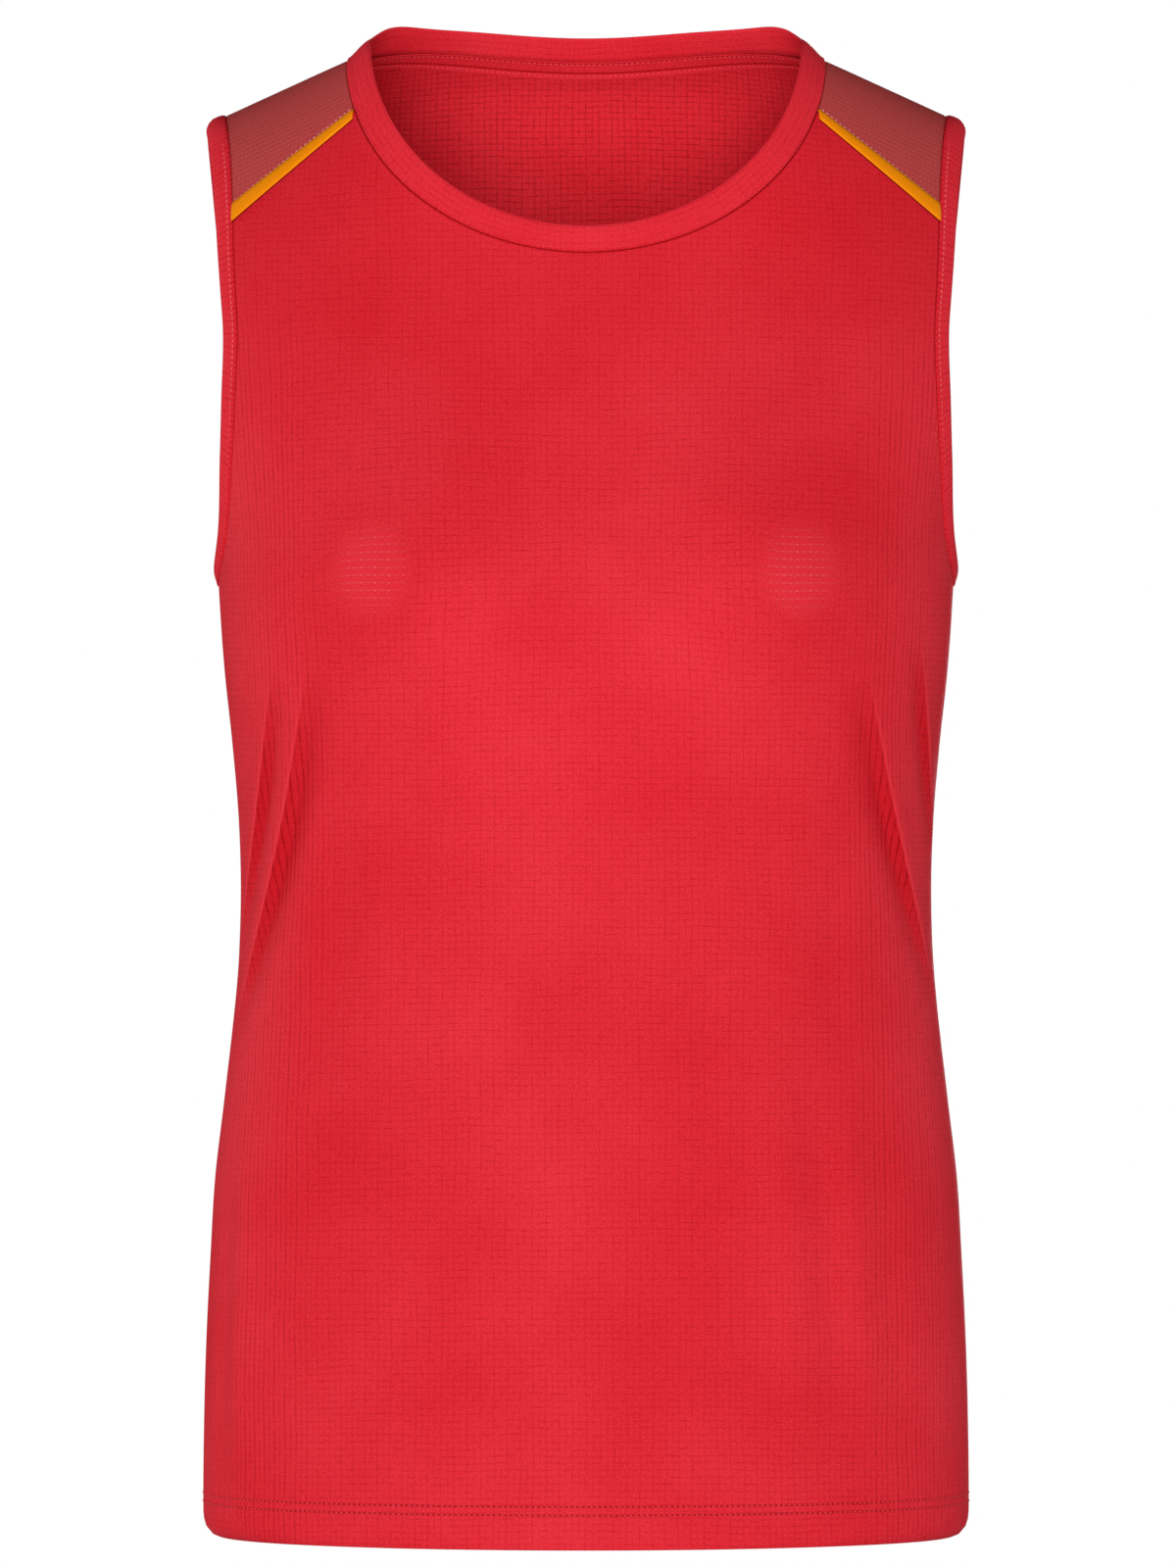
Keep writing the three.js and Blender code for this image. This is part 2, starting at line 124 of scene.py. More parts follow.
def ringAt(height):  # half width, front depth and back depth, smooth between the rows
    height = np.asarray(height, float)
    last = len(ringRows) - 1
    i = np.minimum(np.searchsorted(ringRows[1:, 0], height), last - 1)
    low, high = ringRows[i], ringRows[i + 1]
    before, after = ringRows[np.maximum(i - 1, 0)], ringRows[np.minimum(i + 2, last)]
    span = high[..., :1] - low[..., :1]
    t = np.clip((height[..., None] - low[..., :1]) / span, 0, 1)
    startSlope = (high - before) / (high[..., :1] - before[..., :1])
    endSlope = (after - low) / (after[..., :1] - low[..., :1])
    ring = (low * (2 * t**3 - 3 * t**2 + 1) + high * (3 * t**2 - 2 * t**3)
            + startSlope * span * (t**3 - 2 * t**2 + t) + endSlope * span * (t**3 - t**2))
    return ring[..., 1], ring[..., 2], ring[..., 3]


def ridge(x):  # height of the shoulder ridge
    across = np.abs(x)
    past = np.maximum(across - body["tip"], 0)
    inner = body["neckRise"] * (1 - (across / neck["halfWidth"]) ** 2)
    outer = ((neck["halfWidth"] - across + past) * math.tan(math.radians(body["slope"]))
             - past * math.tan(math.radians(body["tipSlope"])))
    return np.where(across < neck["halfWidth"], inner, outer)


def bustShape(x, height):  # 1 at each side of the chest
    tall = ((height - body["bustHeight"]) / body["bustHalfHeight"]) ** 2
    left = ((x - body["bustAcross"]) / body["bustHalfWidth"]) ** 2
    right = ((x + body["bustAcross"]) / body["bustHalfWidth"]) ** 2
    return np.exp(-left - tall) + np.exp(-right - tall)


def fullDepth(x, height, side):
    _, frontDepth, backDepth = ringAt(height)
    return np.where(side == front, frontDepth + body["bustRise"] * bustShape(x, height), backDepth)


def openness(x, height):  # 0 on the side seams and the ridge, 1 in the open middle
    sideShare = 1 - (x / ringAt(height)[0]) ** 2
    capShare = 1 - np.maximum(1 - (ridge(x) - height) / body["capHeight"], 0) ** 2
    return np.maximum(sideShare, 0) * np.maximum(capShare, 0)


def depthAt(x, height, side):
    return fullDepth(x, height, side) * openness(x, height) ** (body["roundness"] / 2)


def outward(points, side):  # unit direction out of the cloth
    def inside(x, y, z):
        return openness(x, z) - (np.abs(y) / fullDepth(x, z, side)) ** (2 / body["roundness"])

    x, y, z = points[..., 0], points[..., 1], points[..., 2]
    step = 0.05
    slope = np.stack([
        inside(x - step, y, z) - inside(x + step, y, z),
        inside(x, y - step, z) - inside(x, y + step, z),
        inside(x, y, z - step) - inside(x, y, z + step),
    ], axis=-1)
    return slope / np.linalg.norm(slope, axis=-1, keepdims=True)


def turnAt(x, height):  # degrees round the body from the middle of the front or the back
    return np.degrees(np.arcsin(np.clip(x / ringAt(height)[0], -1, 1)))


def acrossFold(turn, height, line):  # degrees from a fold's line, and how far it has swelled
    fromTurn, fromHeight, toTurn, toHeight = line
    along = np.clip((height - fromHeight) / (toHeight - fromHeight), 0, 1)
    bow = foldBow * (fromTurn - toTurn) * np.sin(math.pi * along)
    return turn - lerp(fromTurn, toTurn, along) - bow, np.sin(math.pi * along)


def creaseMarks(turn, height, side, order):  # degrees inwards from the crease on each flank, and its force
    distance, force = np.full_like(turn, farFromCrease), np.zeros_like(turn)
    for panel, number, line, *_ in creases:
        if panel == side and number == order:
            away, swell = acrossFold(turn, height, line)
            here = turn * line[2] >= 0
            distance = np.where(here, -np.sign(line[2]) * away, distance)
            force = np.where(here, swell**creaseForcePower, force)
    return distance, force


def foldLift(x, height, side):  # how far creases and rolls lift the cloth
    turn = turnAt(x, height)
    lift = np.zeros_like(turn)
    for panel, line, halfWidth, rise in rolls:
        away, swell = acrossFold(turn, height, line)
        lift += rise * swell * (side == panel) * np.exp(-((away / halfWidth) ** 2))
    for panel, _, line, slope, rise, drop, depth, recovery in creases:
        away, swell = acrossFold(turn, height, line)
        swell = swell * (side == panel)
        inner = away * -np.sign(line[2])  # towards the middle of the panel
        crest = rise * np.exp(-((inner / slope) ** 2))
        trough = depth * np.exp(-((np.maximum(inner - drop, 0) / recovery) ** 1.5))
        lift += swell * lerp(crest, -trough, smooth(0, drop, inner))
    return lift


def onSurface(x, height, side, out=0.0):  # places on the worn cloth, moved out of it
    x, height, side = np.broadcast_arrays(np.asarray(x, float), np.asarray(height, float), np.asarray(side))
    points = np.stack([x, side * depthAt(x, height, side), height], axis=-1)
    lift = out + foldLift(x, height, side)
    return points + outward(points, side) * np.asarray(lift)[..., None]


def surfaceLine(x, height, side, out=0.0):  # places along a line on the cloth, and the directions out of it
    side = np.broadcast_to(np.asarray(side), np.shape(x))
    flat = np.stack([x, side * depthAt(x, height, side), height], axis=-1)
    return onSurface(x, height, side, out), outward(flat, side)


def neckPlace(degrees, letOut=0.0):  # x and height of the neck seam, from -90 at the front to 90 at the back
    degrees = np.asarray(degrees, float)
    sine = np.sin(np.radians(np.abs(degrees)))
    x = (neck["halfWidth"] + letOut) * np.cos(np.radians(degrees))
    frontDrop = body["neckRise"] * sine**2 + (neck["frontDrop"] + letOut) * sine
    backDrop = (body["neckRise"] - neck["backRise"] + letOut) * sine**2 + neck["backSink"] * sine**4
    return x, ridge(x) - np.where(degrees < 0, frontDrop, backDrop)


def armholePlace(degrees, line=armhole):  # 0 is on the ridge, -180 and 180 at the underarm
    degrees = np.asarray(degrees, float)
    side = np.where(degrees < 0, front, back)
    reach = np.where(degrees < 0, line["frontReach"], line["backReach"])
    angle = np.radians(np.abs(degrees))
    height = lerp(line["bottom"], line["top"], (1 + np.cos(angle)) / 2)
    reach = np.maximum(reach * np.sin(angle) ** line["roundness"], 0.15)
    near, far = np.full_like(height, neck["halfWidth"]), ringAt(height)[0]
    for _ in range(40):
        x = (near + far) / 2
        deeper = depthAt(x, height, side) > reach
        near, far = np.where(deeper, x, near), np.where(deeper, far, x)
    return near, height


def yokeCorners(side, ofYoke):  # angles of a yoke seam's ends on the neck seam and the armhole seam
    shift = side * (-1 if ofYoke else 1) * yokeSeam["gapAngle"] / 2
    ends = ("neckFront", "armFront") if side == front else ("neckBack", "armBack")
    return [yokeSeam[end] + shift for end in ends]


def yokeSeamPlace(share, side, ofYoke):  # straight from the neck seam to the armhole seam
    neckAngle, armAngle = yokeCorners(side, ofYoke)
    start, end = neckPlace(neckAngle), armholePlace(armAngle)
    return lerp(start[0], end[0], share), lerp(start[1], end[1], share)


# Lengths along the cloth, so that the knit runs true over the worn shape
lengthGrid = {
    "turns": 181, "widest": 89.9, "heights": 353, "lowest": -670, "highest": 34,
    "longestStep": 4.0,  # near the shoulder ridge, where the form falls away
}
stretch = {"share": 0.12, "halfWidth": 46, "halfHeight": 52}  # of the knit over the chest


def runLengths(points, axis=0, longest=np.inf):  # running length of cloth along one way of a line or a grid
    steps = np.minimum(np.linalg.norm(np.diff(points, axis=axis), axis=-1), longest)
    return np.concatenate([np.zeros_like(steps.take([0], axis)), np.cumsum(steps, axis=axis)], axis=axis)


def clothLengths(side):
    cut = lengthGrid
    turns = np.radians(np.linspace(-cut["widest"], cut["widest"], cut["turns"]))
    heights = np.linspace(cut["lowest"], cut["highest"], cut["heights"])
    turn, height = np.meshgrid(turns, heights)
    halfWidth, frontDepth, backDepth = ringAt(height)
    x = halfWidth * np.sin(turn)
    depth = (frontDepth if side == front else backDepth) * openness(x, height) ** (body["roundness"] / 2)
    points = np.stack([x, depth, height], axis=-1)
    u = runLengths(points, 1)
    u -= u[:, [cut["turns"] // 2]]
    return turns, heights, u, runLengths(points, 0, cut["longestStep"])


def clothMap(x, height, side):  # u round the body and v up it, in millimetres of cloth
    turns, heights, uTable, vTable = lengthTables[side]
    turn = np.arcsin(np.clip(x / ringAt(height)[0], -1, 1))
    column = np.clip((turn - turns[0]) / (turns[1] - turns[0]), 0, len(turns) - 1.001)
    row = np.clip((height - heights[0]) / (heights[1] - heights[0]), 0, len(heights) - 1.001)
    left, low = column.astype(int), row.astype(int)

    def read(table):
        below = lerp(table[low, left], table[low, left + 1], column - left)
        above = lerp(table[low + 1, left], table[low + 1, left + 1], column - left)
        return lerp(below, above, row - low)

    u, v = read(uTable), read(vTable)
    if side == front:
        up = height - body["bustHeight"]
        for bustAcross in (-body["bustAcross"], body["bustAcross"]):
            across = x - bustAcross
            near = np.exp(-(across / stretch["halfWidth"]) ** 2 - (up / stretch["halfHeight"]) ** 2)
            u = u - stretch["share"] * across * near
            v = v - stretch["share"] * up * near
    return np.stack([u, v], axis=-1)


lengthTables = {side: clothLengths(side) for side in (front, back)}


def addObject(name, data):
    made = bpy.data.objects.new(name, data)
    bpy.context.scene.collection.objects.link(made)
    return made


def finish(mesh, name, material, thickness=0.0, flip=False, merge=False):
    bm = bmesh.new()
    bm.from_mesh(mesh)
    if merge:
        bmesh.ops.remove_doubles(bm, verts=bm.verts, dist=1e-6)
    if flip:
        bmesh.ops.reverse_faces(bm, faces=bm.faces)
    for face in bm.faces:
        face.smooth = True
    bm.to_mesh(mesh)
    bm.free()
    mesh.materials.append(material)
    piece = addObject(name, mesh)
    if thickness:
        wall = piece.modifiers.new("wall", "SOLIDIFY")
        wall.thickness = thickness * mm
        wall.offset = -1
        wall.use_even_offset = False
    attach(piece, "root")
    return piece


def sheetMesh(name, points, uv, attributes=None):  # a grid of cloth, moved to its points
    rows, columns = points.shape[:2]
    bm = bmesh.new()
    bmesh.ops.create_grid(bm, x_segments=columns - 1, y_segments=rows - 1, size=1)
    mesh = bpy.data.meshes.new(name)
    bm.to_mesh(mesh)
    bm.free()
    flat = np.empty(len(mesh.vertices) * 3)
    mesh.vertices.foreach_get("co", flat)
    flat = flat.reshape(-1, 3)
    column = np.rint((flat[:, 0] + 1) / 2 * (columns - 1)).astype(int)
    row = np.rint((flat[:, 1] + 1) / 2 * (rows - 1)).astype(int)
    mesh.vertices.foreach_set("co", (points[row, column] * mm).ravel())
    corner = np.empty(len(mesh.loops), np.int32)
    mesh.loops.foreach_get("vertex_index", corner)
    layer = mesh.uv_layers.new(name="cloth")
    layer.data.foreach_set("uv", uv[row[corner], column[corner]].astype(np.float32).ravel())
    for key, values in (attributes or {}).items():
        attribute = mesh.attributes.new(key, "FLOAT", "POINT")
        attribute.data.foreach_set("value", values[row, column].astype(np.float32))
    mesh.update()
    return mesh


def facesAway(points, out):  # whether a grid's faces point along the given directions
    along = np.gradient(points, axis=1)
    up = np.gradient(points, axis=0)
    return float(np.sum(np.cross(along, up) * out)) > 0


def gridMap(along, across):  # a strip's own map, from its lengths along and across
    return np.stack(np.meshgrid(along, across), axis=-1)


class Num:  # a value in a material; its operators add Math nodes
    def __init__(self, paint, socket):
        self.paint, self.socket = paint, socket

    def __add__(self, other):
        return self.paint.math("ADD", self, other)

    def __radd__(self, other):
        return self.paint.math("ADD", other, self)

    def __sub__(self, other):
        return self.paint.math("SUBTRACT", self, other)

    def __rsub__(self, other):
        return self.paint.math("SUBTRACT", other, self)

    def __mul__(self, other):
        return self.paint.math("MULTIPLY", self, other)

    def __rmul__(self, other):
        return self.paint.math("MULTIPLY", other, self)

    def __truediv__(self, other):
        return self.paint.math("DIVIDE", self, other)

    def __rtruediv__(self, other):
        return self.paint.math("DIVIDE", other, self)

    def __abs__(self):
        return self.paint.math("ABSOLUTE", self)

    def fract(self):
        return self.paint.math("FRACT", self)

    def floor(self):
        return self.paint.math("FLOOR", self)

    def sine(self):
        return self.paint.math("SINE", self)

    def most(self, other):
        return self.paint.math("MAXIMUM", self, other)

    def least(self, other):
        return self.paint.math("MINIMUM", self, other)

    def held(self):  # kept between 0 and 1
        return self.least(1.0).most(0.0)

    def step(self, low, high):  # smoothly from 0 to 1
        return self.paint.node("ShaderNodeMapRange", {"interpolation_type": "SMOOTHSTEP"},
                               {"Value": self, "From Min": low, "From Max": high})

    def line(self, middle, half, core):  # 1 on a line and 0 past its half width, from its solid core out
        return 1 - (abs(self - middle) / half).step(core, 1.0)


class Paint:  # a material and the one way of adding nodes to it
    def __init__(self, name):
        self.material = bpy.data.materials.new(name)
        self.material.use_nodes = True
        self.tree = self.material.node_tree
        self.shader = self.tree.nodes["Principled BSDF"]

    def node(self, kind, settings=None, inputs=None, out=0):
        made = self.tree.nodes.new(kind)
        for key, value in (settings or {}).items():
            setattr(made, key, value)
        for key, value in (inputs or {}).items():
            self.put(made.inputs[key], value)
        return Num(self, made.outputs[out])

    def put(self, socket, value):
        if isinstance(value, Num):
            self.tree.links.new(value.socket, socket)
        else:
            socket.default_value = value

    def math(self, operation, *values):
        return self.node("ShaderNodeMath", {"operation": operation}, dict(enumerate(values)))

    def mix(self, factor, a, b):  # 6, 7 and 2 are the node's colour sockets
        return self.node("ShaderNodeMix", {"data_type": "RGBA"}, {0: factor, 6: a, 7: b}, out=2)

    def vector(self, x, y, z=0.0):
        return self.node("ShaderNodeCombineXYZ", {}, {"X": x, "Y": y, "Z": z})

    def noise(self, vector, scale, detail=2.0, roughness=0.5):
        return self.node("ShaderNodeTexNoise", {"noise_dimensions": "2D"},
                         {"Vector": vector, "Scale": scale, "Detail": detail, "Roughness": roughness})

    def place(self):
        return self.node("ShaderNodeTexCoord", out="Object")

    def split(self, vector, axis):
        return self.node("ShaderNodeSeparateXYZ", {}, {"Vector": vector}, out=axis)

    def uv(self):
        mapped = self.node("ShaderNodeUVMap", {"uv_map": "cloth"})
        return mapped, self.split(mapped, "X"), self.split(mapped, "Y")

    def attribute(self, name):
        return self.node("ShaderNodeAttribute", {"attribute_name": name}, out="Fac")

    def surface(self, colour, roughness, height=None, strength=0.5, distance=0.2, **constants):
        self.put(self.shader.inputs["Base Color"], colour)
        self.put(self.shader.inputs["Roughness"], roughness)
        for key, value in constants.items():
            self.shader.inputs[key.replace("_", " ")].default_value = value
        if height is not None:
            relief = {"Height": height, "Strength": strength, "Distance": distance * mm}
            self.put(self.shader.inputs["Normal"], self.node("ShaderNodeBump", {}, relief))
        return self.material


def colour(red, green, blue):  # from the 0 to 255 of a colour picker
    channels = [c / 255 for c in (red, green, blue)]
    return tuple(c / 12.92 if c <= 0.04045 else ((c + 0.055) / 1.055) ** 2.4 for c in channels) + (1.0,)


knitLook = {
    "pitchAcross": 2.85, "pitchUp": 2.95,  # one square of the check
    "drift": 2.4,  # how far its lines wander
    "cloth": colour(224, 32, 46), "light": colour(249, 62, 76),
    "line": colour(174, 2, 14), "lineForce": 0.5,
    # painted shade in the hollows beside the creases, and a painted highlight along their crests
    "shade": colour(200, 16, 29), "shadeLine": colour(150, 0, 8), "creaseShadeForce": 0.8, "crestHighlightForce": 0.5,
    "openLine": colour(255, 112, 120), "openAndHighlightForce": 0.75,  # where the knit opens over the chest and shows pale, partly real and partly a painted highlight
    "upperShadeForce": 0.25,  # painted shade on the upper front, where the cloth tilts up away from the lights
    "boldForce": 0.7,  # of the lines on the upper back, which shows inside the neck
    "seamShadeForce": 0.8,  # painted shade in the grooves along seams and sewing lines
    "roughness": 0.7, "IOR": 1.12,
}
ropeLook = {"middle": 2.1, "half": 0.75, "pitch": 2.3}  # its middle is measured from the seam


def wave(along, pitch):  # 0 to 1 and back within each pitch
    return (along * (2 * math.pi / pitch)).sine() * 0.5 + 0.5


def checkKnit(name, look, up=1.0, across=1.0, panel=False, rope=False,
              grooves=(), hemGrooves=(), grooveHalf=0.6):
    paint = Paint(name)
    mapped, u, v = paint.uv()
    driftU = paint.noise(mapped, 0.022, 1.0)
    driftV = paint.noise(paint.vector(v * 0.8 + 300, u), 0.026, 1.0)
    a = (u + (driftU - 0.5) * look["drift"]) / look["pitchAcross"]
    b = (v + (driftV - 0.5) * look["drift"]) / look["pitchUp"]
    nearUp = abs(a.fract() - 0.5) * 2
    nearSecond = abs((a * 0.5).fract() - 0.5) * 2
    nearAcross = abs(b.fract() - 0.5) * 2
    # each line keeps changing strength along its length, and no two are alike
    upForce = paint.noise(paint.vector((a + 0.5).floor() * 5.7, v * 0.16), 1.0, 2.0, 0.6).step(0.3, 0.72)
    acrossForce = paint.noise(paint.vector(u * 0.2, (b + 0.5).floor() * 7.3), 1.0, 2.0, 0.6).step(0.3, 0.72)
    upLine = nearUp.step(0.6, 1.0) * (upForce * 0.75 + 0.25) * 0.8 + nearSecond.step(0.8, 1.0) * 0.3
    acrossLine = nearAcross.step(0.6, 1.0) * (acrossForce * 0.8 + 0.2)
    if panel:
        ribbed = paint.attribute("ribbed")
        upLine = upLine * (ribbed * 1.1 + 0.8)
        acrossLine = acrossLine * (0.95 - ribbed * 0.5)
    upLine, acrossLine = upLine * up, acrossLine * across
    line = upLine.most(acrossLine) * 0.72 + (upLine * acrossLine) * 0.45
    if panel:
        line = line * (paint.attribute("bold") * look["boldForce"] + 1)
    line = line.least(1.0)
    speck = paint.noise(mapped, 1.1, 3.0, 0.75)
    fine = paint.noise(paint.vector(u * 2.3, v), 0.9, 2.0, 0.7)
    patch = paint.noise(mapped, 0.014, 3.0)
    bright = (speck - 0.5) * 1.5 + (fine - 0.5) * 0.6 + (patch - 0.5) * 0.7 + 0.36
    base = paint.mix(bright.held(), look["cloth"], look["light"])
    tinted = paint.mix(line * look["lineForce"], base, look["line"])
    if panel:
        # the knit opens over the chest, and the zone is also painted paler as a highlight
        paler = paint.attribute("stretchedAndHighlit").step(0.45, 0.95)
        tinted = paint.mix(paler * look["openAndHighlightForce"], tinted, paint.mix(0.35, base, look["light"]))
        gap = nearSecond.step(0.84, 0.98) * 0.35 + nearUp.step(0.7, 0.98) * 0.4
        gap = gap * nearAcross.step(0.62, 0.96) * (upForce * 0.5 + 0.6)
        webs = nearAcross.step(0.72, 1.0) * 0.16
        tinted = paint.mix((gap + webs) * paler, tinted, look["openLine"])
        # painted shade on the upper front, where the cloth tilts up away from the lights
        tinted = paint.mix(paint.attribute("deeper") * look["upperShadeForce"], tinted, look["shade"])
        # painted shade in the hollow beside each crease, and a painted highlight along its crest
        for word, reach in (("first", 8.0), ("second", 12.0)):
            distance, force = paint.attribute(word + "Crease"), paint.attribute(word + "Force")
            hollow = distance.step(0.1, 0.7) * (1 - distance.step(0.7, reach))
            shaded = paint.mix(line * 0.9, look["shade"], look["shadeLine"])
            tinted = paint.mix(hollow * force * look["creaseShadeForce"], tinted, shaded)
            edge = 1 - abs(distance + 0.1).step(0.1, 0.6)
            tinted = paint.mix(edge * force * look["crestHighlightForce"], tinted, look["light"])
    height = (1 - upLine * 0.5) * (1 - acrossLine * 0.7) + speck * 0.22 + fine * 0.12
    dents = [v.line(middle, grooveHalf, 0.35) for middle in grooves]
    if hemGrooves:
        above = paint.split(paint.place(), "Z") * (1 / mm)
        dents += [above.line(middle, grooveHalf, 0.35) for middle in hemGrooves]
    if rope:  # the seam allowance shows through beside the seam as a tight twist, with painted shade in its troughs and in the seam
        twist = wave(u + v * 0.9, ropeLook["pitch"])
        beside = v.line(ropeLook["middle"], ropeLook["half"], 0.3)
        height = height + twist * beside * 0.6
        dents.append(((1 - v.step(1.1, 1.9)) + (1 - twist) * beside * 0.55).least(1.0))
    # painted shade in the grooves of the sewing lines, and in the seam and the twist beside it
    if dents:
        dark = dents[0]
        for dent in dents[1:]:
            dark = dark.most(dent)
        tinted = paint.mix(dark * look["seamShadeForce"], tinted, look["line"])
        height = height - dark * 0.7
    return paint.surface(tinted, look["roughness"], height, 0.5, 0.3, IOR=look["IOR"])


marlLook = {
    "dark": colour(168, 44, 46), "light": colour(218, 94, 92), "pitch": 2.5, "roughness": 0.85, "IOR": 1.15,
}


def marlKnit(name, look):
    paint = Paint(name)
    mapped, u, v = paint.uv()
    flecks = paint.noise(paint.vector(u, v * 2.4), 0.9, 3.0, 0.75)
    fine = paint.noise(mapped, 3.2, 1.0, 0.6)
    a, b = (u + v * 0.5) / look["pitch"], (v - u * 0.3) / look["pitch"]
    dot = (abs(a.fract() - 0.5) * 2).step(0.5, 1.0) * 0.7
    dot = dot.most((abs(b.fract() - 0.5) * 2).step(0.5, 1.0))
    tone = (flecks - 0.5) * 1.1 + (fine - 0.5) * 0.6 + 0.56 - dot * 0.26
    mixed = paint.mix(tone.held(), look["dark"], look["light"])
    return paint.surface(mixed, look["roughness"], (1 - dot * 0.7) + fine * 0.2, 0.5, 0.25, IOR=look["IOR"])


orangeLook = {
    "dark": colour(250, 122, 2), "light": colour(255, 160, 12), "pipingShadow": colour(120, 4, 12), "pitch": 0.9,
    "roughness": 0.7, "IOR": 1.12,
}


def pipingCloth(name, look):
    paint = Paint(name)
    mapped, u, v = paint.uv()
    twill = wave(u + v * 0.6, look["pitch"])
    speck = paint.noise(mapped, 1.2, 2.0)
    mixed = paint.mix((twill * 0.3 + (speck - 0.5) * 0.6 + 0.45).held(), look["dark"], look["light"])
    # painted shadow line on the turned-under lower edge of the piping
    mixed = paint.mix(paint.attribute("pipingShadow"), mixed, look["pipingShadow"])
    return paint.surface(mixed, look["roughness"], twill, 0.3, 0.1, IOR=look["IOR"])


threadLook = {"grain": 2600.0, "darkShare": 0.8, "roughness": 0.8, "IOR": 1.1}


def thread(name, tint):
    paint = Paint(name)
    twist = paint.node("ShaderNodeTexNoise", {},
                       {"Vector": paint.place(), "Scale": threadLook["grain"], "Detail": 1.0})
    darker = tuple(channel * threadLook["darkShare"] for channel in tint[:3]) + (1.0,)
    mixed = paint.mix(twist, darker, tint)
    return paint.surface(mixed, threadLook["roughness"], twist, 0.3, 0.05, IOR=threadLook["IOR"])


hemRows = (19.0, 15.3)  # the twin sewing lines above the bottom edge
tapeRows = (0.95, 5.95)  # the sewing lines across the tape, from its top edge
# the hem's sewing lines get painted shade in their grooves
hemGrooves = [hemHeight + row for row in hemRows]
knit = checkKnit("check knit", knitLook, panel=True, hemGrooves=hemGrooves, grooveHalf=0.62)
neckKnit = checkKnit("check knit of the neck binding", knitLook, up=0.5, across=0.85, rope=True)
armholeKnit = checkKnit("check knit of the armhole bindings", knitLook, up=1.25, across=0.25, rope=True)
tapeKnit = checkKnit("check knit of the tape", knitLook, up=0.5, across=0.3, grooves=tapeRows)
marl = marlKnit("marl knit", marlLook)
orange = pipingCloth("piping cloth", orangeLook)
redThread = thread("red thread", colour(244, 80, 92))
deepThread = thread("deep red thread", colour(248, 84, 96))
roseThread = thread("rose thread", colour(252, 112, 122))
paleThread = thread("pale thread", colour(252, 158, 162))
print("materials made")

# Body panels: one grid from the turned-up hem to the top edge, with its edges turned in along the seams
panelCut = {
    "neckColumns": 28, "yokeColumns": 68,
    "bodyRows": 132, "chestRows": 66,
    "wall": 0.6,
    "turnUp": 20, "turnUpRows": 6, "layerGap": 0.12,
    "foldHeight": 1.2, "foldRadius": 0.62, "foldRows": 7,  # the bottom fold
    "turnUpShift": 6,  # the knit of the turned-up layer runs out of step
    # from the side seam, on the outside and along the turned-in edge, at the depth of the body there
    "sideGap": 0.15, "innerGap": 0.02, "sideDepth": 110.5,
    "edgeRound": (0.08, 0.3), "allowance": (0.5, 1.5),  # how far in the cloth turns at an edge
    "deepest": -2.6,
}
# Where the knit looks different: the bust and all heights in millimetres, the ribs in degrees round the body
knitPlaces = {
    "bustAcross": 92, "bustHalf": 24, "bustHeight": -225, "bustHalfHeight": 30,
    "ribbed": (42, 54), "plainAgain": (62, 74), "plainShare": 0.8, "plainHeights": (-460, -390),
    "ribbedHeights": (-90, -150), "upperShadeHeights": (-170, -90), "boldHeights": (-210, -130),
}


def edgeSteps(inner, outer):  # steps to a half and on to 1, with close ones before the edge
    even = np.concatenate([np.linspace(0, 0.5, inner + 1)[:-1], np.linspace(0.5, 1, outer + 1)[:-1]])
    return np.concatenate([even, [0.9935, 0.9975, 1.0]])


def turnedIn(steps, cut):  # steps with those of the turned-in edge, and how far out each one lies
    ends = -np.array(cut["edgeRound"] + cut["allowance"])
    out = np.concatenate([np.zeros(len(steps) - len(cut["edgeRound"])), ends])
    return np.concatenate([steps, np.ones(len(cut["allowance"]))]), out


def panelTop(share, side):  # the top edge by its share from the middle out: neck seam, then yoke seam
    neckAngle = yokeCorners(side, False)[0]
    alongNeck = neckPlace(lerp(90.0 * side, neckAngle, np.minimum(share / 0.5, 1)))
    alongYoke = yokeSeamPlace(np.maximum((share - 0.5) / 0.5, 0), side, False)
    onNeck = share < 0.5
    return np.where(onNeck, alongNeck[0], alongYoke[0]), np.where(onNeck, alongNeck[1], alongYoke[1])


def ringTurn(x, height):  # radians round the body
    return np.arcsin(x / ringAt(height)[0])


def bodyRows(cut):  # heights from the inside of the turned-up hem round its fold and up to the underarm
    inner = -2 * cut["wall"] - cut["layerGap"]
    foldTop = hemHeight + cut["foldHeight"]
    turnUp = np.linspace(hemHeight + cut["turnUp"], foldTop, cut["turnUpRows"])
    fold = np.linspace(0, math.pi, cut["foldRows"])[1:-1]
    foldHeights = hemHeight + cut["foldRadius"] * (1 - np.sin(fold))
    up = np.linspace(foldTop, armhole["bottom"], cut["bodyRows"])
    out = [np.full(len(turnUp), inner), lerp(inner, 0, (1 - np.cos(fold)) / 2), np.zeros(len(up))]
    return np.concatenate([turnUp, foldHeights, up]), np.concatenate(out)


def chestGrid(cut, side, across, turns, sideTurn):  # from the underarm up to the top edge
    rise, riseOut = turnedIn(edgeSteps(cut["chestRows"] // 2, cut["chestRows"] // 2)[1:], cut)
    armAngle = yokeCorners(side, False)[1]
    seamX, seamHeight = armholePlace(lerp(180.0 * side, armAngle, rise))
    topX, topHeight = panelTop(np.abs(across), side)
    cornerX, cornerHeight = panelTop(np.array(1.0), side)
    topTurn = ringTurn(topX, topHeight) * np.sign(across)
    cornerTurn = ringTurn(cornerX, cornerHeight)
    overTurn = ringTurn(seamX, seamHeight) - lerp(sideTurn, cornerTurn, rise)
    overHeight = seamHeight - lerp(armhole["bottom"], cornerHeight, rise)
    turn = lerp(turns, topTurn, rise[:, None]) + across * overTurn[:, None]
    height = lerp(armhole["bottom"], topHeight, rise[:, None]) + np.abs(across) * overHeight[:, None]
    return turn, height, riseOut


